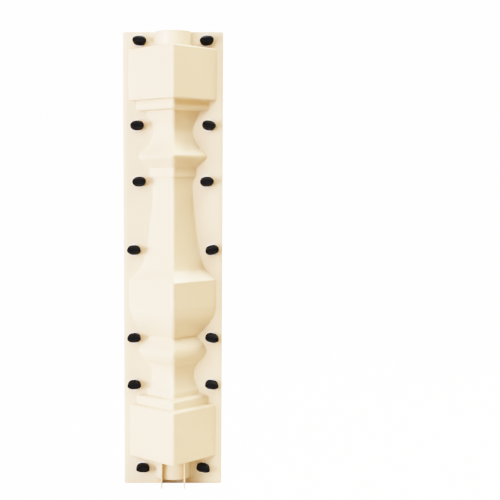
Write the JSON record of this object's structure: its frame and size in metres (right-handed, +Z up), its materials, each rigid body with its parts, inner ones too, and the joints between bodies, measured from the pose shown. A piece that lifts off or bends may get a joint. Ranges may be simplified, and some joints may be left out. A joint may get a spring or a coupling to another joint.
{
  "type": "baluster casting mould",
  "caption": "Two-part ivory plastic mould for casting a square concrete baluster, bolted along a flat flange, with a pour collar on top and stand ribs below.",
  "frame": {"origin": "centre of the foot, on the surface the mould stands on, below the axis of the baluster", "axes": "+Z up along the axis of the baluster, +X along the width of the flange, -Y towards the wing heads"},
  "size_m": [0.164, 0.15, 0.75],
  "materials": {
    "shell": "satin ivory ABS",
    "wing_bolt": "fine-grained black moulding",
    "washer": "bright zinc plate",
    "nut": "bright zinc plate"
  },
  "bodies": {
    "root": {"front_half_foot": "shell", "front_half_lower_ring": "shell", "front_half_belly": "shell", "front_half_upper_ring": "shell", "front_half_head": "shell", "back_half_foot": "shell", "back_half_lower_ring": "shell", "back_half_belly": "shell", "back_half_upper_ring": "shell", "back_half_head": "shell", "wing_bolt_left_1": "wing_bolt", "wing_bolt_right_1": "wing_bolt", "wing_bolt_left_2": "wing_bolt", "wing_bolt_right_2": "wing_bolt", "wing_bolt_left_3": "wing_bolt", "wing_bolt_right_3": "wing_bolt", "wing_bolt_left_4": "wing_bolt", "wing_bolt_right_4": "wing_bolt", "wing_bolt_left_5": "wing_bolt", "wing_bolt_right_5": "wing_bolt", "wing_bolt_left_6": "wing_bolt", "wing_bolt_right_6": "wing_bolt", "wing_bolt_left_7": "wing_bolt", "wing_bolt_right_7": "wing_bolt", "washer_left_1": "washer", "washer_right_1": "washer", "washer_left_2": "washer", "washer_right_2": "washer", "washer_left_3": "washer", "washer_right_3": "washer", "washer_left_4": "washer", "washer_right_4": "washer", "washer_left_5": "washer", "washer_right_5": "washer", "washer_left_6": "washer", "washer_right_6": "washer", "washer_left_7": "washer", "washer_right_7": "washer", "nut_left_1": "nut", "nut_right_1": "nut", "nut_left_2": "nut", "nut_right_2": "nut", "nut_left_3": "nut", "nut_right_3": "nut", "nut_left_4": "nut", "nut_right_4": "nut", "nut_left_5": "nut", "nut_right_5": "nut", "nut_left_6": "nut", "nut_right_6": "nut", "nut_left_7": "nut", "nut_right_7": "nut"}
  },
  "joints": []
}
